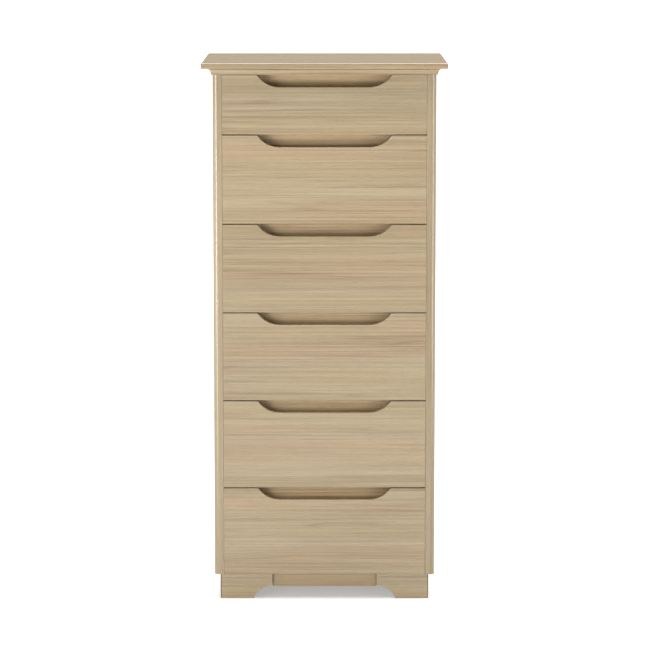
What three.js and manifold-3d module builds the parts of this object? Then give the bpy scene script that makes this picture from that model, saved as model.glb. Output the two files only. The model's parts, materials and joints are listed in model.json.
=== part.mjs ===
// Tall chest of six drawers: one shallow drawer over five deep ones.
// Millimetres. +Z is up, the drawer fronts face -Y, +X is to the right of a person facing them.
// The origin is on the floor, under the centre of the whole chest.
import * as THREE from 'three';
import { mergeVertices, toCreasedNormals } from 'three/addons/utils/BufferGeometryUtils.js';
import Module from 'manifold-3d';

const wasm = await Module();
wasm.setup();

// Overall sizes
const TOP_WIDTH = 540;
const DEPTH = 425;
const HEIGHT = 1200;
const BODY_WIDTH = 492;
const BACK_Y = DEPTH / 2;
const NOSE_Y = -DEPTH / 2;
const OVERHANG = (TOP_WIDTH - BODY_WIDTH) / 2;
const FRONT_Y = NOSE_Y + OVERHANG;

// Clearances
const FIT = 0.3;
const DRAWER_GAP = 2.2;
const DRAWER_SIDE_GAP = 0.4;
const CORNICE_GAP = 0.9;

// Top board and its moulded edge
const TOP_THICK = 26;
const NOSE_HEIGHT = 12.5;
const NOSE_UPPER_R = 3;
const NOSE_LOWER_R = 2;
const SOFFIT = 9.8;
const COVE_R = 11;
const CARCASS_TOP = HEIGHT - TOP_THICK;

// Carcass
const SIDE_THICK = 21;
const CORNER_R = 10.5;
const BODY_X = BODY_WIDTH / 2;
const INNER_X = BODY_X - SIDE_THICK;
const BACK_THICK = 4;
const BACK_INSET = 8.5;
const GROOVE_DEPTH = 5;
const BASE_THICK = 16;
const RAIL_THICK = 16;
const RAIL_ABOVE = 6;
const RAIL_BELOW = 36;
const BASE_SET_BACK = 2;
const TOP_RAIL_HEIGHT = 20;
const TOP_RAIL_DEPTH = 60;
const FINGER_SPACE = 20;

// Lip under the front top rail: it closes the view over the shallow drawer
const LIP_SET_BACK = 4;
const LIP_THICK = 16;
const LIP_DROP = 13;
const LIP_END_GAP = 3;

// Plinth
const PLINTH_HEIGHT = 57;
const PLINTH_THICK = 18;
const PLINTH_INSET_X = 13.5;
const PLINTH_INSET_FRONT = 8;
const PLINTH_INSET_BACK = 8;
const PLINTH_RAIL_INSET = 17;
const PLINTH_RAIL_BOTTOM = 26;
const FOOT_WIDTH = 116;
const FOOT_FLOOR_WIDTH = 73;
const FOOT_ARCH = 29.5;
const FOOT_ARC_R = 46;
const LEAST_HEEL = 0.5;

// Drawers
const DEEP_ZONE = 197;
const DEEP_COUNT = 5;
const FRONT_THICK = 18;
const SCOOP_WIDTH = 294;
const SCOOP_FLAT = 196;
const SCOOP_DEPTH = 26;
const BOX_X = 221.5;
const BOX_SIDE = 15;
const BOX_BACK = 14;
const BOX_LENGTH = 350;
const BOTTOM_THICK = 4;
const BOTTOM_LIFT = 10;
const BOTTOM_REBATE = 5;

// Heights of the drawer boxes and runners, from the top of the drawer's zone
const DEEP_BOX = { low: -175, high: -40, backHigh: -45, runner: -107 };
const TOP_BOX = { low: -110, high: -24, backHigh: -36, runner: -69 };

// Runners and the grooves that slide on them
const RUNNER_HEIGHT = 16;
const RUNNER_THICK = 9.7;
const RUNNER_SET_BACK = 0.5;
const RUNNER_END = 190;
const RUNNER_GROOVE = 7;
const RUNNER_PLAY = 0.7;

// Cutting tools reach this far past what they cut
const OVERCUT = 2;

const ARC_STEPS = 12;
const FINE_STEPS = 5;
const CREASE = Math.PI / 7;

const OAK = new THREE.MeshStandardMaterial({ name: 'oak', color: 0xb9a586, roughness: 0.5, metalness: 0 });
const DRAWER_WOOD = new THREE.MeshStandardMaterial({
  name: 'drawer_wood', color: 0xcbb794, roughness: 0.6, metalness: 0,
});
const THIN_BOARD = new THREE.MeshStandardMaterial({
  name: 'thin_board', color: 0xc4ae88, roughness: 0.65, metalness: 0,
});

const group = new THREE.Group();
group.name = 'tall_chest_of_drawers';

function addNode(name, geometry, material) {
  const mesh = new THREE.Mesh(toCreasedNormals(geometry, CREASE), material);
  mesh.name = name;
  group.add(mesh);
}

// Points on an arc, both ends included. Angles in radians.
function arc(cx, cy, radius, from, to, steps = ARC_STEPS) {
  const points = [];
  for (let i = 0; i <= steps; i += 1) {
    const a = from + ((to - from) * i) / steps;
    points.push([cx + radius * Math.cos(a), cy + radius * Math.sin(a)]);
  }
  return points;
}

function extrude(points, length) {
  const shape = new THREE.Shape(points.map(([u, v]) => new THREE.Vector2(u, v)));
  return new THREE.ExtrudeGeometry(shape, { depth: length, bevelEnabled: false, curveSegments: 1 });
}

// Outline in plan (x, y), extruded upwards.
function fromPlan(points, z0, z1) {
  return extrude(points, z1 - z0).translate(0, 0, z0);
}

// Outline seen from the front (x, z), extruded along y.
function fromFront(points, y0, y1) {
  return extrude(points, y1 - y0).rotateX(Math.PI / 2).translate(0, y1, 0);
}

// Outline seen from the side (y, z), extruded along x.
function fromSide(points, x0, x1) {
  const turn = new THREE.Matrix4().set(0, 0, 1, 0, 1, 0, 0, 0, 0, 1, 0, 0, 0, 0, 0, 1);
  return extrude(points, x1 - x0).applyMatrix4(turn).translate(x0, 0, 0);
}

function box(x0, x1, y0, y1, z0, z1) {
  const geometry = new THREE.BoxGeometry(x1 - x0, y1 - y0, z1 - z0);
  return geometry.translate((x0 + x1) / 2, (y0 + y1) / 2, (z0 + z1) / 2);
}

function toSolid(geometry) {
  const bare = geometry.clone();
  bare.deleteAttribute('normal');
  bare.deleteAttribute('uv');
  const welded = mergeVertices(bare, 1e-4);
  const triVerts = Uint32Array.from(welded.index.array);
  const vertProperties = Float32Array.from(welded.attributes.position.array);
  return new wasm.Manifold(new wasm.Mesh({ numProp: 3, vertProperties, triVerts }));
}

function toGeometry(solid) {
  const mesh = solid.getMesh();
  const geometry = new THREE.BufferGeometry();
  geometry.setAttribute('position', new THREE.BufferAttribute(Float32Array.from(mesh.vertProperties), 3));
  geometry.setIndex(new THREE.BufferAttribute(Uint32Array.from(mesh.triVerts), 1));
  return geometry;
}

function cut(geometry, ...tools) {
  let solid = toSolid(geometry);
  for (const tool of tools) {
    solid = solid.subtract(toSolid(tool));
  }
  return toGeometry(solid);
}

// side is -1 for the left and +1 for the right.
const SIDES = [[-1, 'left'], [1, 'right']];

// A solid between two x distances from the centre plane, on the named side.
function sideBox(side, near, far, y0, y1, z0, z1) {
  return box(Math.min(side * near, side * far), Math.max(side * near, side * far), y0, y1, z0, z1);
}

// Outline points mirrored to one side, kept counter-clockwise.
function toSide(points, side) {
  const moved = points.map(([u, v]) => [side * u, v]);
  return side < 0 ? moved.reverse() : moved;
}

// The moulded edge runs along the front and both ends and stops square at the back.
function topBoard() {
  const nose = HEIGHT - NOSE_HEIGHT;
  const profile = [
    ...arc(NOSE_UPPER_R, HEIGHT - NOSE_UPPER_R, NOSE_UPPER_R, Math.PI / 2, Math.PI, FINE_STEPS),
    ...arc(NOSE_LOWER_R, nose + NOSE_LOWER_R, NOSE_LOWER_R, Math.PI, 1.5 * Math.PI, FINE_STEPS),
    ...arc(SOFFIT, nose - COVE_R, COVE_R, Math.PI / 2, 0),
    [SOFFIT + COVE_R, CARCASS_TOP],
  ];
  const positions = [];
  for (const [inset, z] of profile) {
    const x = TOP_WIDTH / 2 - inset;
    const y = NOSE_Y + inset;
    positions.push(-x, BACK_Y, z, -x, y, z, x, y, z, x, BACK_Y, z);
  }
  const index = [0, 1, 2, 0, 2, 3];
  for (let level = 0; level < profile.length - 1; level += 1) {
    for (let corner = 0; corner < 4; corner += 1) {
      const a = level * 4 + corner;
      const b = level * 4 + ((corner + 1) % 4);
      index.push(a, a + 4, b + 4, a, b + 4, b);
    }
  }
  const last = (profile.length - 1) * 4;
  index.push(last, last + 2, last + 1, last, last + 3, last + 2);
  const geometry = new THREE.BufferGeometry();
  geometry.setAttribute('position', new THREE.Float32BufferAttribute(positions, 3));
  geometry.setIndex(index);
  return geometry;
}

// Side panel in plan, right-hand one: quarter round at the front, back panel groove inside.
function sidePanel(side) {
  const grooveFront = BACK_Y - BACK_INSET - BACK_THICK - FIT;
  const grooveBack = BACK_Y - BACK_INSET + FIT;
  const plan = [
    [INNER_X, FRONT_Y],
    ...arc(BODY_X - CORNER_R, FRONT_Y + CORNER_R, CORNER_R, -Math.PI / 2, 0),
    [BODY_X, BACK_Y],
    [INNER_X, BACK_Y],
    [INNER_X, grooveBack],
    [INNER_X + GROOVE_DEPTH, grooveBack],
    [INNER_X + GROOVE_DEPTH, grooveFront],
    [INNER_X, grooveFront],
  ];
  return fromPlan(toSide(plan, side), PLINTH_HEIGHT, CARCASS_TOP - FIT);
}

// Flat rail with a lip under it, cut short at both ends to pass between the drawer sides.
function frontTopRail(railX, front, low, high) {
  const rear = front + TOP_RAIL_DEPTH;
  const lipFront = front + LIP_SET_BACK;
  const lipX = BOX_X - BOX_SIDE - LIP_END_GAP;
  const below = low - LIP_DROP - OVERCUT;
  return cut(
    box(-railX, railX, front, rear, low - LIP_DROP, high),
    box(-railX - OVERCUT, railX + OVERCUT, front - OVERCUT, lipFront, below, low),
    box(-railX - OVERCUT, railX + OVERCUT, lipFront + LIP_THICK, rear + OVERCUT, below, low),
    box(-railX - OVERCUT, -lipX, front - OVERCUT, rear + OVERCUT, below, low),
    box(lipX, railX + OVERCUT, front - OVERCUT, rear + OVERCUT, below, low),
  );
}

function buildCarcass() {
  addNode('top_board', topBoard(), OAK);
  for (const [side, word] of SIDES) {
    addNode(`side_panel_${word}`, sidePanel(side), OAK);
  }
  const backX = INNER_X + GROOVE_DEPTH - FIT;
  const backFront = BACK_Y - BACK_INSET - BACK_THICK;
  const backRear = backFront + BACK_THICK;
  const backPanel = box(-backX, backX, backFront, backRear, PLINTH_HEIGHT + FIT, CARCASS_TOP - FIT);
  addNode('back_panel', backPanel, THIN_BOARD);

  const railX = INNER_X - FIT;
  const inner = FRONT_Y + FRONT_THICK;
  const baseTop = PLINTH_HEIGHT + BASE_THICK;
  const rearEnd = backFront - FIT;
  addNode('base_panel', box(-railX, railX, inner + BASE_SET_BACK, rearEnd, PLINTH_HEIGHT, baseTop), OAK);

  const railFront = inner + FINGER_SPACE;
  const low = CARCASS_TOP - TOP_RAIL_HEIGHT;
  const high = CARCASS_TOP - FIT;
  addNode('top_rail_front', frontTopRail(railX, railFront, low, high), OAK);
  addNode('top_rail_rear', box(-railX, railX, rearEnd - TOP_RAIL_DEPTH, rearEnd, low, high), OAK);

  for (let i = 0; i < DEEP_COUNT; i += 1) {
    const joint = zoneTop(i + 1);
    const railRear = railFront + RAIL_THICK;
    const rail = box(-railX, railX, railFront, railRear, joint - RAIL_BELOW, joint + RAIL_ABOVE);
    addNode(`divider_rail_${i + 1}`, rail, OAK);
  }
}

// Bottom edge of a foot seen square on: u grows away from the outer corner of the plinth.
function footEdge() {
  const run = FOOT_WIDTH - FOOT_FLOOR_WIDTH;
  const start = Math.acos(run / FOOT_ARC_R);
  const rise = FOOT_ARC_R * (1 - Math.sin(start));
  const heel = FOOT_ARCH - rise;
  const curve = arc(FOOT_WIDTH, FOOT_ARCH - FOOT_ARC_R, FOOT_ARC_R, Math.PI - start, Math.PI / 2);
  return [[0, 0], [FOOT_FLOOR_WIDTH, 0], ...(heel > LEAST_HEEL ? curve : curve.slice(1))];
}

// A wedge that turns a square board end into a mitre. It is cut from the board at one
// front corner of the plinth; keepFront picks which of the two boards is being cut.
function mitreWedge(side, keepFront) {
  const x = BODY_X - PLINTH_INSET_X;
  const y = FRONT_Y + PLINTH_INSET_FRONT;
  const out = OVERCUT;
  const reach = PLINTH_THICK + 2 * OVERCUT;
  const shift = (FIT / 2) * Math.SQRT2;
  const plan = keepFront
    ? [[x + out, y - out - shift], [x + out, y + reach - shift], [x - reach, y + reach - shift]]
    : [[x + out, y - out + shift], [x - reach, y + reach + shift], [x - reach, y - out + shift]];
  return fromPlan(toSide(plan, side), -OVERCUT, PLINTH_HEIGHT + OVERCUT);
}

function buildPlinth() {
  const x = BODY_X - PLINTH_INSET_X;
  const y = FRONT_Y + PLINTH_INSET_FRONT;
  const top = PLINTH_HEIGHT - FIT;
  const backY = BACK_Y - PLINTH_INSET_BACK;
  const edge = footEdge();
  for (const [side, word] of SIDES) {
    const front = [...edge, [FOOT_WIDTH, top], [0, top]].map(([u, v]) => [side * (x - u), v]);
    const outline = side > 0 ? front.reverse() : front;
    const foot = fromFront(outline, y, y + PLINTH_THICK);
    addNode(`front_foot_${word}`, cut(foot, mitreWedge(side, true)), OAK);

    const rear = edge.map(([u, v]) => [backY - u, v]).reverse();
    const board = [...edge.map(([u, v]) => [y + u, v]), ...rear, [backY, top], [y, top]];
    const plank = side > 0 ? fromSide(board, x - PLINTH_THICK, x) : fromSide(board, -x, PLINTH_THICK - x);
    addNode(`plinth_side_${word}`, cut(plank, mitreWedge(side, false)), OAK);
  }
  const railX = x - FOOT_WIDTH - FIT;
  const railY = FRONT_Y + PLINTH_RAIL_INSET;
  const rail = box(-railX, railX, railY, railY + PLINTH_THICK, PLINTH_RAIL_BOTTOM, top);
  addNode('plinth_front_rail', rail, OAK);
  const backX = x - PLINTH_THICK - FIT;
  const backRail = box(-backX, backX, backY - PLINTH_THICK, backY, PLINTH_RAIL_BOTTOM, top);
  addNode('plinth_back_rail', backRail, OAK);
}

// Height of the top of a drawer's zone: 0 is the shallow top drawer.
function zoneTop(index) {
  return index === 0 ? CARCASS_TOP : PLINTH_HEIGHT + DEEP_ZONE * (DEEP_COUNT + 1 - index);
}

function zoneBottom(index) {
  return zoneTop(index + 1);
}

// Drawer front seen from the front, with the finger scoop in its top edge.
function frontOutline(x, low, high) {
  const run = (SCOOP_WIDTH - SCOOP_FLAT) / 2;
  const radius = (run * run + SCOOP_DEPTH * SCOOP_DEPTH) / (2 * SCOOP_DEPTH);
  const sweep = Math.asin(run / radius);
  const flat = SCOOP_FLAT / 2;
  const centre = high - SCOOP_DEPTH + radius;
  const down = -Math.PI / 2;
  return [
    [-x, low],
    [x, low],
    [x, high],
    ...arc(flat, centre, radius, down + sweep, down),
    ...arc(-flat, centre, radius, down, down - sweep),
    [-x, high],
  ];
}

function drawerFront(index, levels) {
  const x = INNER_X - DRAWER_SIDE_GAP;
  const low = zoneBottom(index) + DRAWER_GAP / 2;
  const high = zoneTop(index) - (index === 0 ? CORNICE_GAP : DRAWER_GAP / 2);
  const blank = fromFront(frontOutline(x, low, high), FRONT_Y, FRONT_Y + FRONT_THICK);
  const grooveX = BOX_X - BOX_SIDE + BOTTOM_REBATE;
  const grooveY = FRONT_Y + FRONT_THICK - BOTTOM_REBATE;
  const groove = box(
    -grooveX, grooveX, grooveY, FRONT_Y + FRONT_THICK + OVERCUT,
    levels.floor - FIT, levels.floor + BOTTOM_THICK + FIT,
  );
  return cut(blank, groove);
}

// Right-hand drawer side seen from the front: runner groove outside, bottom groove inside.
function drawerSide(side, levels) {
  const inside = BOX_X - BOX_SIDE;
  const runnerLow = levels.runner - RUNNER_HEIGHT / 2 - RUNNER_PLAY;
  const runnerHigh = levels.runner + RUNNER_HEIGHT / 2 + FIT;
  const section = [
    [inside, levels.low],
    [BOX_X, levels.low],
    [BOX_X, runnerLow],
    [BOX_X - RUNNER_GROOVE, runnerLow],
    [BOX_X - RUNNER_GROOVE, runnerHigh],
    [BOX_X, runnerHigh],
    [BOX_X, levels.high],
    [inside, levels.high],
    [inside, levels.floor + BOTTOM_THICK + FIT],
    [inside + BOTTOM_REBATE, levels.floor + BOTTOM_THICK + FIT],
    [inside + BOTTOM_REBATE, levels.floor - FIT],
    [inside, levels.floor - FIT],
  ];
  return fromFront(toSide(section, side), levels.start, levels.end);
}

function buildDrawer(index) {
  const name = `drawer_${index + 1}`;
  const plan = index === 0 ? TOP_BOX : DEEP_BOX;
  const top = zoneTop(index);
  const start = FRONT_Y + FRONT_THICK + FIT;
  const levels = {
    low: top + plan.low,
    high: top + plan.high,
    runner: top + plan.runner,
    floor: top + plan.low + BOTTOM_LIFT,
    start,
    end: start + BOX_LENGTH,
  };
  addNode(`${name}_front`, drawerFront(index, levels), OAK);
  for (const [side, word] of SIDES) {
    addNode(`${name}_side_${word}`, drawerSide(side, levels), DRAWER_WOOD);
    const near = INNER_X - FIT - RUNNER_THICK;
    const runner = sideBox(
      side, near, INNER_X - FIT, FRONT_Y + FRONT_THICK + RUNNER_SET_BACK, RUNNER_END,
      levels.runner - RUNNER_HEIGHT / 2, levels.runner + RUNNER_HEIGHT / 2,
    );
    addNode(`runner_${index + 1}_${word}`, runner, DRAWER_WOOD);
  }
  const backX = BOX_X - BOX_SIDE - FIT;
  const backLow = levels.floor + BOTTOM_THICK + FIT;
  const back = box(-backX, backX, levels.end - BOX_BACK, levels.end, backLow, top + plan.backHigh);
  addNode(`${name}_back`, back, DRAWER_WOOD);
  const bottomX = BOX_X - BOX_SIDE + BOTTOM_REBATE - FIT;
  const bottomY = FRONT_Y + FRONT_THICK - BOTTOM_REBATE + FIT;
  const bottom = box(-bottomX, bottomX, bottomY, levels.end, levels.floor, levels.floor + BOTTOM_THICK);
  addNode(`${name}_bottom`, bottom, THIN_BOARD);
}

buildCarcass();
buildPlinth();
for (let index = 0; index <= DEEP_COUNT; index += 1) {
  buildDrawer(index);
}

export default group;
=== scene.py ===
# Looks of the tall chest of drawers: wood, rounded arrises, fixings, studio light and camera.
import json
import math

import bmesh
import bpy
from mathutils import Matrix, Vector


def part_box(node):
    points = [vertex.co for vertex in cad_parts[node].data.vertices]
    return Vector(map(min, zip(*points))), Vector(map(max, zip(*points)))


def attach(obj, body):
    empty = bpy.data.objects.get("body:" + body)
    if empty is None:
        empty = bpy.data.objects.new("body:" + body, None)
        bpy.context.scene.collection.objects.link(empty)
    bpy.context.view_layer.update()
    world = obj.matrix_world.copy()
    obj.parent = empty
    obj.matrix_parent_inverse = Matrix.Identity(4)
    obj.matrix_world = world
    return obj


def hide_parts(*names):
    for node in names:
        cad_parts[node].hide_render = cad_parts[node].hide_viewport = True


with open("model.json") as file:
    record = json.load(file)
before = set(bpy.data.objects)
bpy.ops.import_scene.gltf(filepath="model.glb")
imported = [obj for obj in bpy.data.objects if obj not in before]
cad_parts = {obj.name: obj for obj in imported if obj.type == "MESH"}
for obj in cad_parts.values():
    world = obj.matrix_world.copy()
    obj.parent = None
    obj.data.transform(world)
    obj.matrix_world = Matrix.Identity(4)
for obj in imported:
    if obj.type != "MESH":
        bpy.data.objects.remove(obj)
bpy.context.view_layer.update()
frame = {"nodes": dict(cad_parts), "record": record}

MM = 0.001

RECORD = frame["record"]
BODIES = RECORD["behaviour"]["bodies"]
BODY_OF = {node: body for body, nodes in BODIES.items() for node in nodes}
SLOT_OF = {row["node"]: row["material_slot"] for row in RECORD["subparts"]}
DRAWERS = sorted(body for body in BODIES if body.startswith("drawer_"))
SIDES = ((-1, "left"), (1, "right"))


# ---------------------------------------------------------------- shader tree helpers

class Tree:
    """Adds nodes to a shader tree and links them, one call for each step of a pattern."""

    def __init__(self, tree):
        self.tree = tree

    def node(self, kind, **settings):
        made = self.tree.nodes.new(kind)
        for key, value in settings.items():
            setattr(made, key, value)
        return made

    def feed(self, socket, value):
        if isinstance(value, bpy.types.NodeSocket):
            self.tree.links.new(value, socket)
        else:
            socket.default_value = value

    def math(self, operation, first, second=0.0, clamp=False):
        made = self.node("ShaderNodeMath", operation=operation, use_clamp=clamp)
        self.feed(made.inputs[0], first)
        self.feed(made.inputs[1], second)
        return made.outputs[0]

    def join(self, x, y, z):
        made = self.node("ShaderNodeCombineXYZ")
        for socket, value in zip(made.inputs, (x, y, z)):
            self.feed(socket, value)
        return made.outputs[0]

    def split(self, vector):
        made = self.node("ShaderNodeSeparateXYZ")
        self.feed(made.inputs[0], vector)
        return made.outputs

    def scaled(self, vector, along, across):
        """Board coordinates for a pattern with so many features a metre along and across."""
        made = self.node("ShaderNodeVectorMath", operation="MULTIPLY")
        self.feed(made.inputs[0], vector)
        made.inputs[1].default_value = (along, across, across)
        return made.outputs[0]

    def noise(self, vector, detail=2.0, roughness=0.5):
        made = self.node("ShaderNodeTexNoise")
        self.feed(made.inputs["Vector"], vector)
        made.inputs["Scale"].default_value = 1.0
        made.inputs["Detail"].default_value = detail
        made.inputs["Roughness"].default_value = roughness
        return made.outputs["Fac"]

    def ramp(self, value, stops):
        made = self.node("ShaderNodeValToRGB")
        elements = made.color_ramp.elements
        while len(elements) < len(stops):
            elements.new(0.5)
        for element, (place, level) in zip(elements, stops):
            element.position = place
            element.color = (level, level, level, 1.0)
        self.feed(made.inputs[0], value)
        return made.outputs["Color"]

    def spread(self, value, low, high):
        """Stretches low..high to 0..1."""
        made = self.node("ShaderNodeMapRange", clamp=True)
        self.feed(made.inputs["Value"], value)
        made.inputs["From Min"].default_value = low
        made.inputs["From Max"].default_value = high
        return made.outputs["Result"]

    def patches(self, point, along, across, low, high, detail=2.0, roughness=0.5):
        """Noise drawn out along the grain, with its levels low..high brought to 0..1."""
        return self.spread(self.noise(self.scaled(point, along, across), detail, roughness), low, high)

    def weighed(self, parts):
        """The sum of some values, each times its own weight."""
        total = 0.0
        for value, weight in parts:
            total = self.math("ADD", total, self.math("MULTIPLY", value, weight))
        return total

    def mix(self, factor, first, second, blend="MIX"):
        made = self.node("ShaderNodeMix", data_type="RGBA", blend_type=blend)
        self.feed(made.inputs["Factor"], factor)
        self.feed(made.inputs["A"], first)
        self.feed(made.inputs["B"], second)
        return made.outputs["Result"]


def srgb(red, green, blue):
    """Screen colour, 0 to 255, as linear light."""
    def linear(level):
        share = level / 255
        return share / 12.92 if share <= 0.04045 else ((share + 0.055) / 1.055) ** 2.4
    return (linear(red), linear(green), linear(blue), 1.0)


def plain_shader(name):
    """A new material with its tree helper and its Principled shader."""
    material = bpy.data.materials.new(name)
    material.use_nodes = True
    shader = next(n for n in material.node_tree.nodes if n.type == "BSDF_PRINCIPLED")
    return material, Tree(material.node_tree), shader


# ---------------------------------------------------------------- wood

RINGS_PER_METRE = 190.0
RING_WANDER = 0.020
PACE_PER_RING = 0.23
PACE_SWING = 6.0
# Place within a year, from early to late wood, and how dark the wood is there.
YEAR_PROFILE = ((0.0, 0.0), (0.45, 0.10), (0.85, 1.0), (1.0, 0.0))
# Where a stave lies: anywhere along its log, and (nearest, swing) beside and above the pith.
LOG_LENGTH = 5.0
PITH_BESIDE = (0.05, 0.10)
PITH_BELOW = (0.10, 0.14)
STAVE_LOTS = 37.0
DARKEST_LOT = 0.965
LOT_SWING = 0.07


def staves(t, given):
    """Cuts a board into glued staves, and gives each its own place in its own log."""
    x, y, z = t.split(given["Vector"])
    place = t.math("ADD", t.math("DIVIDE", y, given["Stave"]), 0.5)
    number = t.math("FLOOR", place)
    within = t.math("SUBTRACT", t.math("FRACT", place), 0.5)
    across = t.math("MULTIPLY", within, given["Stave"])
    random = t.node("ShaderNodeTexWhiteNoise", noise_dimensions="2D")
    t.feed(random.inputs["Vector"], t.join(number, given["Seed"], 0.0))
    dice = t.split(random.outputs["Color"])
    along = t.math("ADD", x, t.math("MULTIPLY", dice[0], LOG_LENGTH))
    nearest, swing = PITH_BESIDE
    side = t.math("ADD", across, t.math("ADD", t.math("MULTIPLY", dice[1], swing), nearest))
    nearest, swing = PITH_BELOW
    deep = t.math("ADD", z, t.math("ADD", t.math("MULTIPLY", dice[2], swing), nearest))
    return t.join(along, side, deep), dice


def growth_rings(t, point):
    """Dark late wood of uneven years, round a pith that runs beside the board."""
    _, side, deep = t.split(point)
    wander = t.math("SUBTRACT", t.noise(t.scaled(point, 1.2, 7.0), 2.0, 0.5), 0.5)
    square = t.math("ADD", t.math("MULTIPLY", side, side), t.math("MULTIPLY", deep, deep))
    radius = t.math("ADD", t.math("SQRT", square), t.math("MULTIPLY", wander, RING_WANDER))
    count = t.math("MULTIPLY", radius, RINGS_PER_METRE)
    pace = t.node("ShaderNodeTexNoise", noise_dimensions="1D")
    t.feed(pace.inputs["W"], t.math("MULTIPLY", count, PACE_PER_RING))
    count = t.math("ADD", count, t.math("MULTIPLY", pace.outputs["Fac"], PACE_SWING))
    line = t.ramp(t.math("FRACT", count), YEAR_PROFILE)
    year = t.node("ShaderNodeTexWhiteNoise", noise_dimensions="1D")
    t.feed(year.inputs["W"], t.math("FLOOR", count))
    strength = t.math("POWER", year.outputs["Value"], 2.0)
    faded = t.patches(point, along=1.4, across=16.0, low=0.38, high=0.64)
    return t.math("MULTIPLY", t.math("MULTIPLY", line, strength), faded)


def wisps(t, point, along, across, width, least):
    """Long thin dark wisps that wander, meet and part along the grain.

    A wisp runs where a noise crosses its middle level. A second, broader noise says where wisps
    show at all: from the level least upwards."""
    middle = 0.5
    fade = 0.14
    field = t.noise(t.scaled(point, along, across))
    off = t.math("ABSOLUTE", t.math("SUBTRACT", field, middle))
    line = t.math("SUBTRACT", 1.0, t.spread(off, 0.0, width))
    here = t.patches(point, along * 1.3, across * 0.55, least, least + fade, detail=1.0)
    return t.math("MULTIPLY", line, here)


def wood_sockets(sockets):
    """What a board tells the shared wood, and what it gets back."""
    sockets.new_socket("Vector", in_out="INPUT", socket_type="NodeSocketVector")
    for name in ("End", "Seed", "Stave", "Contrast"):
        sockets.new_socket(name, in_out="INPUT", socket_type="NodeSocketFloat")
    for name in ("Light", "Warm", "Cool", "Dark"):
        sockets.new_socket(name, in_out="INPUT", socket_type="NodeSocketColor")
    sockets.new_socket("Color", in_out="OUTPUT", socket_type="NodeSocketColor")
    sockets.new_socket("Gloss", in_out="OUTPUT", socket_type="NodeSocketFloat")
    sockets.new_socket("Height", in_out="OUTPUT", socket_type="NodeSocketFloat")


def wood_group():
    """Solid wood in board coordinates: x along the grain, y across a board's width.

    Everything is a pattern in depth, so faces, edges and ends all show the same wood."""
    group = bpy.data.node_groups.new("Solid wood", "ShaderNodeTree")
    wood_sockets(group.interface)
    t = Tree(group)
    given = t.node("NodeGroupInput").outputs
    result = t.node("NodeGroupOutput")
    point, dice = staves(t, given)
    rings = growth_rings(t, point)
    broad_wisps = wisps(t, point, along=1.1, across=22.0, width=0.022, least=0.52)
    narrow_wisps = wisps(t, point, along=1.9, across=62.0, width=0.05, least=0.50)
    wisp = t.math("ADD", broad_wisps, narrow_wisps)
    band = t.patches(point, along=1.4, across=60.0, low=0.32, high=0.68, roughness=0.6)
    strong = t.patches(point, along=1.2, across=210.0, low=0.47, high=0.66, roughness=0.6)
    fine = t.patches(point, along=2.2, across=480.0, low=0.36, high=0.64, detail=1.0, roughness=0.6)
    fibre = t.noise(t.scaled(point, 9.0, 640.0), detail=2.0, roughness=0.6)
    pore = t.patches(point, along=42.0, across=1300.0, low=0.62, high=0.74, detail=1.0)
    warm = t.patches(point, along=1.7, across=26.0, low=0.44, high=0.66)
    cool = t.patches(point, along=1.5, across=32.0, low=0.42, high=0.68)

    # Streaks fade to half their strength where the wood isn't lively.
    streak = t.weighed([(strong, 0.42), (fine, 0.80)])
    lively = t.patches(point, along=1.2, across=21.0, low=0.36, high=0.64, detail=1.0)
    streak = t.math("MULTIPLY", streak, t.math("ADD", t.math("MULTIPLY", lively, 0.55), 0.50))
    swing = t.math("SUBTRACT", fibre, 0.5)
    shade = t.weighed([(band, 0.10), (streak, 0.86), (rings, 0.62), (wisp, 0.42), (swing, 0.60)])
    shade = t.math("MULTIPLY", shade, given["Contrast"], clamp=True)
    colour = t.mix(warm, given["Light"], given["Warm"])
    colour = t.mix(t.math("MULTIPLY", cool, 0.8), colour, given["Cool"])
    colour = t.mix(shade, colour, given["Dark"])
    colour = t.mix(t.math("MULTIPLY", pore, 0.28), colour, given["Dark"], "MULTIPLY")
    colour = t.mix(t.math("MULTIPLY", given["End"], 0.35), colour, given["Dark"], "MULTIPLY")
    lot = t.math("FRACT", t.math("MULTIPLY", dice[0], STAVE_LOTS))
    tone = t.math("ADD", t.math("MULTIPLY", lot, LOT_SWING), DARKEST_LOT)
    colour = t.mix(1.0, colour, t.join(tone, tone, tone), "MULTIPLY")
    t.feed(result.inputs["Color"], colour)

    # Streaks, pores and end grain are rougher. Pores and late wood lie lower than the fibres.
    t.feed(result.inputs["Gloss"], t.weighed([(streak, 0.06), (pore, 0.18), (given["End"], 0.14)]))
    t.feed(result.inputs["Height"], t.weighed([(fibre, 0.5), (pore, -0.9), (rings, -0.2)]))
    return group


WOOD = wood_group()

# Turns object axes into board axes, so that the named axis becomes the grain.
GRAIN_TURN = {"X": (0, 0, 0), "Y": (0, 0, -math.pi / 2), "Z": (0, math.pi / 2, 0)}
# A stave wider than any board, for boards that are cut in one piece.
WHOLE = 10.0
# How squarely a face has to look along the grain to begin, and to finish, being end grain.
END_GRAIN = (0.6, 0.95)
COAT_ROUGHNESS = 0.17
WOOD_RELIEF = 0.3 * MM

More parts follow.
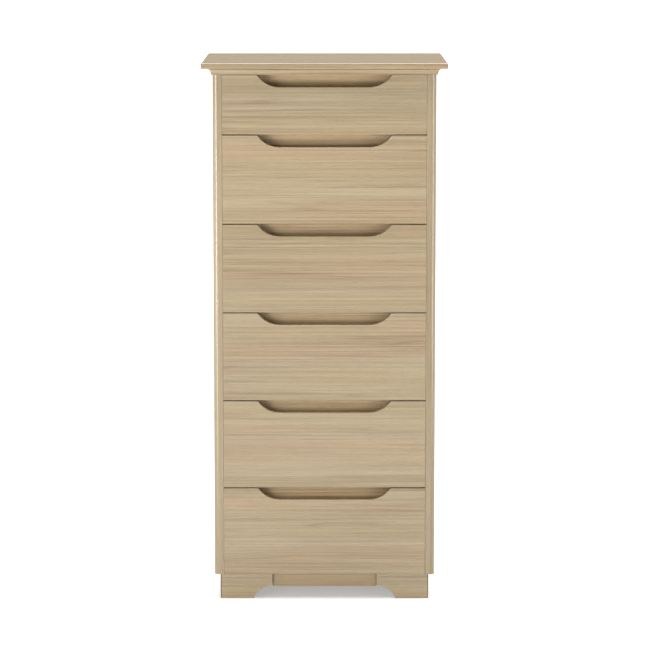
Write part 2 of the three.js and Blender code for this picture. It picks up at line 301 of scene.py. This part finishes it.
# Base colours of the wood, how dark its figure gets, its least roughness and its other shares.
FINISHES = {
    "oak": {
        "Light": srgb(153, 137, 106), "Warm": srgb(154, 131, 97), "Cool": srgb(146, 130, 93),
        "Dark": srgb(103, 76, 40), "Contrast": 0.64,
        "rough": 0.26, "shine": 0.9, "coat": 0.1, "bump": 0.06,
    },
    # Darker than oak: painted shade on the side panels, against the side light that brightens them.
    "side_oak": {
        "Light": srgb(147, 131, 100), "Warm": srgb(148, 126, 91), "Cool": srgb(140, 124, 87),
        "Dark": srgb(99, 74, 40), "Contrast": 0.64,
        "rough": 0.25, "shine": 0.9, "coat": 0.25, "bump": 0.06,
    },
    # Darker and more golden than oak: painted shade on the plinth's front rail, recessed under the
    # carcass.
    "painted_shade_plinth_oak": {
        "Light": srgb(152, 132, 96), "Warm": srgb(152, 126, 88), "Cool": srgb(146, 128, 87),
        "Dark": srgb(106, 78, 39), "Contrast": 0.64,
        "rough": 0.30, "shine": 0.8, "coat": 0.1, "bump": 0.06,
    },
    "drawer_wood": {
        "Light": srgb(194, 180, 155), "Warm": srgb(192, 173, 147), "Cool": srgb(188, 175, 145),
        "Dark": srgb(150, 128, 97), "Contrast": 0.52,
        "rough": 0.48, "shine": 0.4, "coat": 0.05, "bump": 0.22,
    },
    "thin_board": {
        "Light": srgb(172, 157, 130), "Warm": srgb(170, 150, 121), "Cool": srgb(166, 152, 120),
        "Dark": srgb(122, 100, 70), "Contrast": 0.60,
        "rough": 0.52, "shine": 0.35, "coat": 0.02, "bump": 0.25,
    },
    # Paler than oak: painted light on the rails that stand in shadow behind the scoops.
    "painted_light_recess_oak": {
        "Light": srgb(191, 166, 127), "Warm": srgb(189, 159, 118), "Cool": srgb(185, 160, 117),
        "Dark": srgb(132, 100, 58), "Contrast": 0.70,
        "rough": 0.42, "shine": 0.5, "coat": 0.1, "bump": 0.10,
    },
}


def wood_material(name, finish, grain, centre, seed, stave=WHOLE):
    """One board's own material: the shared wood, cut from its own place in a log."""
    look = FINISHES[finish]
    material, t, shader = plain_shader(name)
    places = t.node("ShaderNodeTexCoord").outputs
    about = t.node("ShaderNodeVectorMath", operation="SUBTRACT")
    t.feed(about.inputs[0], places["Object"])
    about.inputs[1].default_value = centre
    turned = t.node("ShaderNodeMapping", vector_type="POINT")
    t.feed(turned.inputs["Vector"], about.outputs[0])
    turned.inputs["Rotation"].default_value = GRAIN_TURN[grain]
    facing = t.split(places["Normal"])["XYZ".index(grain)]
    end = t.spread(t.math("ABSOLUTE", facing), *END_GRAIN)

    wood = t.node("ShaderNodeGroup", node_tree=WOOD)
    t.feed(wood.inputs["Vector"], turned.outputs[0])
    t.feed(wood.inputs["End"], end)
    wood.inputs["Seed"].default_value = seed
    wood.inputs["Stave"].default_value = stave
    for key in ("Light", "Warm", "Cool", "Dark", "Contrast"):
        wood.inputs[key].default_value = look[key]

    t.feed(shader.inputs["Base Color"], wood.outputs["Color"])
    t.feed(shader.inputs["Roughness"], t.math("ADD", wood.outputs["Gloss"], look["rough"]))
    shader.inputs["Specular IOR Level"].default_value = look["shine"]
    shader.inputs["Coat Weight"].default_value = look["coat"]
    shader.inputs["Coat Roughness"].default_value = COAT_ROUGHNESS
    bump = t.node("ShaderNodeBump")
    bump.inputs["Strength"].default_value = look["bump"]
    bump.inputs["Distance"].default_value = WOOD_RELIEF
    t.feed(bump.inputs["Height"], wood.outputs["Height"])
    t.feed(shader.inputs["Normal"], bump.outputs["Normal"])
    return material


# ---------------------------------------------------------------- boards

FIRST_SEED = 3.7
SEED_STEP = 1.31
WELD = 0.01 * MM
FLAT = math.radians(1)
SHARP = math.radians(48)
SCOOP_HALF_WIDTH = 146 * MM
SCOOP_DEEPEST = 30 * MM
SCOOP_SHALLOWEST = 0.2 * MM
SCOOP_ARRIS = 2.0 * MM
FOOT_OUTER = 232 * MM
FOOT_FRONT = -180 * MM
FOOT_UPRIGHT = 30 * MM
FOOT_ARRIS = 3.0 * MM


def as_board(name):
    """Grain axis, stave width and arris radius of a node, from its name."""
    if name == "top_board":
        return "X", 105 * MM, 0.8 * MM
    if name.startswith("side_panel"):
        return "Z", 82 * MM, 0.35 * MM
    if name == "base_panel":
        return "X", 92 * MM, 1.0 * MM
    if name == "back_panel":
        return "Z", WHOLE, 0.4 * MM
    if name.startswith("plinth_side"):
        return "Y", WHOLE, 1.0 * MM
    if name.startswith("runner"):
        return "Y", WHOLE, 0.8 * MM
    if "_side_" in name:
        return "Y", WHOLE, 1.6 * MM
    if name.endswith("_bottom"):
        return "X", WHOLE, 0.3 * MM
    if name.endswith("_front"):
        return "X", WHOLE, 0.5 * MM
    return "X", WHOLE, 1.0 * MM


def finish_of(name):
    """Side panels are painted slightly darker, as painted shade against the side light that brightens
    them. The plinth's front rail, in its recess under the carcass, is painted darker and more
    golden, as painted shade. The rails behind the scoops, which stand in shadow, are painted paler,
    as painted light that makes up for that shadow. The rest look as their slot says."""
    if name.startswith("side_panel"):
        return "side_oak"
    if name == "plinth_front_rail":
        return "painted_shade_plinth_oak"
    if "_rail" in name and "plinth" not in name:
        return "painted_light_recess_oak"
    return SLOT_OF[name]


def square_edges(mesh, least=50, most=100):
    """The solid's outer arrises that turn by least to most degrees. Curves and coves turn less."""
    found = []
    for edge in mesh.edges:
        if len(edge.link_faces) != 2 or not edge.is_convex:
            continue
        if math.radians(least) < edge.calc_face_angle() < math.radians(most):
            found.append(edge)
    return found


def round_edges(mesh, edges, radius, segments):
    bmesh.ops.bevel(
        mesh, geom=edges, offset=radius, offset_type="OFFSET", segments=segments,
        profile=0.5, affect="EDGES", clamp_overlap=True,
    )


def is_scoop_edge(edge, high):
    """An edge of the finger scoop: inside the front's outline, near its top, not in the groove."""
    middle = (edge.verts[0].co + edge.verts[1].co) / 2
    below = high - middle.z
    return abs(middle.x) < SCOOP_HALF_WIDTH and SCOOP_SHALLOWEST < below < SCOOP_DEEPEST


def is_foot_corner(edge):
    """The upright outer corner of a front foot."""
    first, second = (vert.co for vert in edge.verts)
    upright = abs(first.z - second.z) > FOOT_UPRIGHT
    outer = abs(first.x) > FOOT_OUTER and abs(second.x) > FOOT_OUTER
    return upright and outer and first.y < FOOT_FRONT


def soften(name, mesh, arris):
    """Welds a solid's mesh and rounds its arrises, more at the scoops and the front feet."""
    bmesh.ops.remove_doubles(mesh, verts=mesh.verts, dist=WELD)
    bmesh.ops.dissolve_limit(mesh, angle_limit=FLAT, verts=mesh.verts, edges=mesh.edges)
    if name.startswith("drawer_") and name.endswith("_front"):
        high = max(vert.co.z for vert in mesh.verts)
        scoop = [edge for edge in square_edges(mesh) if is_scoop_edge(edge, high)]
        round_edges(mesh, scoop, SCOOP_ARRIS, segments=4)
    if name.startswith("front_foot"):
        corner = [edge for edge in square_edges(mesh, 30, 140) if is_foot_corner(edge)]
        round_edges(mesh, corner, FOOT_ARRIS, segments=4)
    round_edges(mesh, square_edges(mesh, 60, 100), arris, segments=2)


def finish_object(piece, body):
    """Smooth shading that keeps flat faces flat, then onto its body."""
    for polygon in piece.data.polygons:
        polygon.use_smooth = True
    piece.data.set_sharp_from_angle(angle=SHARP)
    weighted = piece.modifiers.new("Flat faces stay flat", "WEIGHTED_NORMAL")
    weighted.weight = 100
    weighted.keep_sharp = True
    bpy.context.collection.objects.link(piece)
    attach(piece, body)


def make_board(name, seed):
    """A CAD node's board with softened arrises and its own cut of wood."""
    grain, stave, arris = as_board(name)
    low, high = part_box(name)
    solid = bmesh.new()
    solid.from_mesh(frame["nodes"][name].data)
    soften(name, solid, arris)
    data = bpy.data.meshes.new(f"{name}_board")
    solid.to_mesh(data)
    solid.free()
    piece = bpy.data.objects.new(f"{name}_board", data)
    finish = finish_of(name)
    wood = wood_material(f"{name}_{finish}", finish, grain, (low + high) / 2, seed, stave)
    data.materials.append(wood)
    finish_object(piece, BODY_OF[name])
    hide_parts(name)


for number, node in enumerate(BODY_OF):
    make_board(node, FIRST_SEED + SEED_STEP * number)


# ---------------------------------------------------------------- fixings

HEAD_SPOKES = 24
# Rings of a head, and the size of its cross recess, as shares of the head's radius.
HEAD_SHARES = (0.0, 0.16, 0.3, 0.45, 0.62, 0.8, 0.93, 1.0)
CROSS_HALF_WIDTH = 0.24
CROSS_REACH = 0.62
CROSS_TAPER_END = 1.05
CROSS_DEPTH = 0.9 * MM
RIM_SUNK = 0.35 * MM

RUNNER_SCREW_INSET = 35 * MM
BACK_SCREW_INSET = 30 * MM
PIN_INSET = 30 * MM
# Height of the two corner screws, as shares of the drawer back's own height.
CORNER_SCREW_SHARES = (0.12, 0.86)

BLOCK_TRIM = 3 * MM
BLOCK_CHAMFER = 1 * MM
REAR_BLOCK_LEG = 34 * MM
REAR_BLOCK_HEIGHT = 40 * MM
FRONT_BLOCK_LEG = 26 * MM
FRONT_BLOCK_HEIGHT = 26 * MM
BLOCK_SEED = 91.7


def steel_material():
    """Zinc-plated steel, brushed a little by handling."""
    material, t, shader = plain_shader("zinc_steel")
    place = t.node("ShaderNodeTexCoord").outputs["Object"]
    stain = t.spread(t.noise(t.scaled(place, 260.0, 260.0), 3.0), 0.35, 0.7)
    rub = t.noise(t.scaled(place, 2600.0, 900.0), 2.0)
    shader.inputs["Metallic"].default_value = 1.0
    zinc = t.mix(stain, srgb(186, 188, 186), srgb(146, 148, 150))
    t.feed(shader.inputs["Base Color"], zinc)
    t.feed(shader.inputs["Roughness"], t.math("ADD", t.math("MULTIPLY", rub, 0.25), 0.26))
    bump = t.node("ShaderNodeBump")
    bump.inputs["Strength"].default_value = 0.2
    bump.inputs["Distance"].default_value = 0.05 * MM
    t.feed(bump.inputs["Height"], rub)
    t.feed(shader.inputs["Normal"], bump.outputs["Normal"])
    return material


def add_head(mesh, place, out, radius, dome, cross):
    """One driven head: a shallow dome, its rim sunk in the wood, with a cross recess if asked."""
    turn = Vector((0, 0, 1)).rotation_difference(Vector(out)).to_matrix().to_4x4()
    matrix = Matrix.Translation(place) @ turn
    rings = []
    for share in HEAD_SHARES:
        spokes = 1 if share == 0.0 else HEAD_SPOKES
        ring = []
        for spoke in range(spokes):
            angle = 2 * math.pi * spoke / spokes
            x = share * math.cos(angle)
            y = share * math.sin(angle)
            height = dome * (1 - share ** 2)
            if share == 1.0:
                height = -RIM_SUNK
            narrow = min(abs(x), abs(y)) < CROSS_HALF_WIDTH * (CROSS_TAPER_END - share)
            if cross and narrow and share < CROSS_REACH:
                height -= CROSS_DEPTH * (1 - share)
            ring.append(mesh.verts.new(matrix @ Vector((x * radius, y * radius, height))))
        rings.append(ring)
    for spoke in range(HEAD_SPOKES):
        after = (spoke + 1) % HEAD_SPOKES
        mesh.faces.new((rings[0][0], rings[1][spoke], rings[1][after]))
        for inner, outer in zip(rings[1:], rings[2:]):
            mesh.faces.new((inner[spoke], outer[spoke], outer[after], inner[after]))


def make_heads(name, places, body, radius, dome=0.3 * MM, cross=True):
    """All the heads of one kind on one body, as one piece. Each place is (point, outward axis)."""
    mesh = bmesh.new()
    for place, out in places:
        add_head(mesh, Vector(place), out, radius, dome, cross)
    data = bpy.data.meshes.new(name)
    mesh.to_mesh(data)
    mesh.free()
    data.materials.append(STEEL)
    piece = bpy.data.objects.new(name, data)
    for polygon in data.polygons:
        polygon.use_smooth = True
    bpy.context.collection.objects.link(piece)
    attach(piece, body)


def spaced(low, high, inset, count):
    """Evenly spaced places from low to high, the outer two set in from the ends."""
    low += inset
    high -= inset
    return [low + (high - low) * step / (count - 1) for step in range(count)]


def runner_screws():
    """Three screws through every runner into its side panel."""
    places = []
    for number in range(1, len(DRAWERS) + 1):
        for side, word in SIDES:
            low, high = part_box(f"runner_{number}_{word}")
            x = low.x if side > 0 else high.x
            for y in spaced(low.y, high.y, RUNNER_SCREW_INSET, 3):
                places.append(((x, y, (low.z + high.z) / 2), (-side, 0, 0)))
    make_heads("runner_screws", places, "carcass", radius=3.6 * MM, dome=0.12 * MM)


def back_panel_screws():
    """Screws through the back panel into the rear top rail and the base."""
    low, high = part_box("back_panel")
    heights = []
    for rail in ("top_rail_rear", "base_panel"):
        rail_low, rail_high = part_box(rail)
        heights.append((rail_low.z + rail_high.z) / 2)
    places = []
    for z in heights:
        for x in spaced(low.x, high.x, BACK_SCREW_INSET, 5):
            places.append(((x, high.y, z), (0, 1, 0)))
    make_heads("back_panel_screws", places, "carcass", radius=3.8 * MM)


def glue_block(mesh, corner, inward, leg, low, high):
    """Three-sided block in an inner corner, its tips cut off and its lower end chamfered."""
    outline = ((0, 0), (leg, 0), (leg, BLOCK_TRIM), (BLOCK_TRIM, leg), (0, leg))
    rings = []
    for z, shrink in ((low, BLOCK_CHAMFER), (low + BLOCK_CHAMFER, 0), (high, 0)):
        ring = []
        for u, v in outline:
            x = corner[0] + inward[0] * max(u - shrink, 0)
            y = corner[1] + inward[1] * max(v - shrink, 0)
            ring.append(mesh.verts.new((x, y, z)))
        rings.append(ring)
    for lower, upper in zip(rings, rings[1:]):
        for number, vert in enumerate(lower):
            after = (number + 1) % len(lower)
            mesh.faces.new((vert, lower[after], upper[after], upper[number]))
    mesh.faces.new(rings[0])
    mesh.faces.new(rings[-1])


def plinth_blocks():
    """Glue blocks in the four inner corners of the plinth, up against the base."""
    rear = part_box("plinth_back_rail")[0].y
    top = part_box("base_panel")[0].z
    mesh = bmesh.new()
    for side, word in SIDES:
        low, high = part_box(f"plinth_side_{word}")
        x = low.x if side > 0 else high.x
        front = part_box(f"front_foot_{word}")[1].y
        glue_block(mesh, (x, rear), (-side, -1), REAR_BLOCK_LEG, top - REAR_BLOCK_HEIGHT, top)
        glue_block(mesh, (x, front), (-side, 1), FRONT_BLOCK_LEG, top - FRONT_BLOCK_HEIGHT, top)
    bmesh.ops.recalc_face_normals(mesh, faces=mesh.faces)
    data = bpy.data.meshes.new("plinth_blocks")
    mesh.to_mesh(data)
    mesh.free()
    data.materials.append(wood_material("glue_block_wood", "drawer_wood", "Z", (0, 0, 0), BLOCK_SEED))
    finish_object(bpy.data.objects.new("plinth_blocks", data), "carcass")


def drawer_pins(drawer):
    """Nails up through the drawer bottom into its back."""
    low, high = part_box(f"{drawer}_bottom")
    back_low, back_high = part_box(f"{drawer}_back")
    y = (back_low.y + back_high.y) / 2
    places = [((x, y, low.z), (0, 0, -1)) for x in spaced(low.x, high.x, PIN_INSET, 4)]
    make_heads(f"{drawer}_bottom_pins", places, drawer, radius=2.4 * MM, dome=0.2 * MM, cross=False)


def drawer_corner_screws(drawer):
    """Two screws at each rear corner, through the drawer side into the end of the back."""
    back_low, back_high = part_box(f"{drawer}_back")
    y = (back_low.y + back_high.y) / 2
    tall = back_high.z - back_low.z
    places = []
    for side, word in SIDES:
        low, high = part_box(f"{drawer}_side_{word}")
        x = high.x if side > 0 else low.x
        for share in CORNER_SCREW_SHARES:
            places.append(((x, y, back_low.z + share * tall), (side, 0, 0)))
    make_heads(f"{drawer}_corner_screws", places, drawer, radius=3.2 * MM, dome=0.15 * MM)


STEEL = steel_material()
runner_screws()
back_panel_screws()
plinth_blocks()
for drawer in DRAWERS:
    drawer_pins(drawer)
    drawer_corner_screws(drawer)


# ---------------------------------------------------------------- camera, light and floor

WHITE = (1.0, 1.0, 1.0, 1.0)

LENS = 164.4
SENSOR = 36.0
SEES_AS_FAR_AS = 400.0
CAMERA_RIGHT = 1.2 * MM
CAMERA_DISTANCE = 6.5
CAMERA_HEIGHT = 1.56
CAMERA_LOOKS_DOWN = 8.22

ROOM_LIGHT = 0.2
BACKDROP_LIGHT = 1.0
SOFTBOX_HEIGHT = 1.42
OFF_THE_FLOOR = 0.03
# Name, azimuth in degrees, distance and width in metres, brightness.
SOFTBOXES = (
    ("Key", -30, 3.1, 0.66, 14.5),
    ("Left edge", -70, 3.1, 1.2, 2.2),
    ("Right", 43, 3.3, 0.60, 7.6),
    ("Rear left", -146, 3.3, 1.6, 2.0),
)
# Name, azimuth, elevation and width in degrees, brightness.
SKIES = (
    ("Overhead", 0, 90, 56, 1.60),
    ("Rear fill", 180, 48, 60, 0.30),
    ("Right fill", 112, 40, 44, 0.30),
)

FLOOR_REACH = 110.0
FLOOR_SEGMENTS = 8
FLOOR_GREY = 0.58
FLOOR_GLOW = 0.34


def make_camera():
    """Far back with a long lens, a little higher than the chest, and looking slightly down."""
    lens = bpy.data.cameras.new("Camera")
    lens.lens = LENS
    lens.sensor_width = SENSOR
    lens.clip_end = SEES_AS_FAR_AS
    camera = bpy.data.objects.new("Camera", lens)
    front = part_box("drawer_1_front")[0].y
    camera.location = (CAMERA_RIGHT, front - CAMERA_DISTANCE, CAMERA_HEIGHT)
    camera.rotation_euler = (math.radians(90 - CAMERA_LOOKS_DOWN), 0.0, 0.0)
    bpy.context.collection.objects.link(camera)
    bpy.context.scene.camera = camera


def aim(holder, source):
    """Turns a lamp so that it shines against the vector source, and puts it in the scene."""
    holder.rotation_euler = (-source).to_track_quat("-Z", "Y").to_euler()
    bpy.context.collection.objects.link(holder)


def direction(azimuth, elevation):
    """Azimuth 0 is straight in front of the chest, plus is to the right."""
    turn = math.radians(azimuth)
    rise = math.radians(elevation)
    level = math.cos(rise)
    return Vector((math.sin(turn) * level, -math.cos(turn) * level, math.sin(rise)))


def overhead_sky(name, azimuth, elevation, width, level):
    """A very large, distant, soft source."""
    lamp = bpy.data.lights.new(name, "SUN")
    lamp.energy = level * math.pi
    lamp.angle = math.radians(width)
    aim(bpy.data.objects.new(name, lamp), direction(azimuth, elevation))


def standing_softbox(name, azimuth, distance, width, level):
    """A softbox just off the floor that faces the chest, hidden from the camera.

    It is hardly taller than the chest, so that it doesn't glare in the top board."""
    lamp = bpy.data.lights.new(name, "AREA")
    lamp.shape = "RECTANGLE"
    lamp.size = width
    lamp.size_y = SOFTBOX_HEIGHT
    lamp.energy = level * math.pi * width * SOFTBOX_HEIGHT
    holder = bpy.data.objects.new(name, lamp)
    away = direction(azimuth, 0) * distance
    holder.location = away + Vector((0.0, 0.0, SOFTBOX_HEIGHT / 2 + OFF_THE_FLOOR))
    holder.visible_camera = False
    aim(holder, away)


def glow(background, level):
    """Sets a background to an even white light."""
    background.inputs["Color"].default_value = WHITE
    background.inputs["Strength"].default_value = level
    return background.outputs[0]


def make_world():
    """White where the camera looks straight at it. The chest is lit by a much dimmer room."""
    world = bpy.data.worlds.new("Studio")
    world.use_nodes = True
    t = Tree(world.node_tree)
    room = glow(world.node_tree.nodes["Background"], ROOM_LIGHT)
    backdrop = glow(t.node("ShaderNodeBackground"), BACKDROP_LIGHT)
    seen = t.node("ShaderNodeMixShader")
    t.feed(seen.inputs[0], t.node("ShaderNodeLightPath").outputs["Is Camera Ray"])
    t.feed(seen.inputs[1], room)
    t.feed(seen.inputs[2], backdrop)
    t.feed(world.node_tree.nodes["World Output"].inputs["Surface"], seen.outputs[0])
    bpy.context.scene.world = world


def make_light():
    """The room, softboxes that stand round the chest, and soft light from above."""
    make_world()
    for name, azimuth, distance, width, level in SOFTBOXES:
        standing_softbox(name, azimuth, distance, width, level)
    for name, azimuth, elevation, width, level in SKIES:
        overhead_sky(name, azimuth, elevation, width, level)


def make_floor():
    """A wide pale studio floor, matt and a little bright by itself."""
    solid = bmesh.new()
    bmesh.ops.create_grid(
        solid, x_segments=FLOOR_SEGMENTS, y_segments=FLOOR_SEGMENTS, size=FLOOR_REACH,
    )
    data = bpy.data.meshes.new("Studio floor")
    solid.to_mesh(data)
    solid.free()
    floor = bpy.data.objects.new("Studio floor", data)
    material, _, shader = plain_shader("Studio floor")
    shader.inputs["Base Color"].default_value = (FLOOR_GREY, FLOOR_GREY, FLOOR_GREY, 1.0)
    shader.inputs["Roughness"].default_value = 0.9
    shader.inputs["Specular IOR Level"].default_value = 0.2
    shader.inputs["Emission Color"].default_value = WHITE
    shader.inputs["Emission Strength"].default_value = FLOOR_GLOW
    data.materials.append(material)
    bpy.context.collection.objects.link(floor)


make_camera()
make_light()
make_floor()
bpy.context.scene.view_settings.view_transform = "Standard"
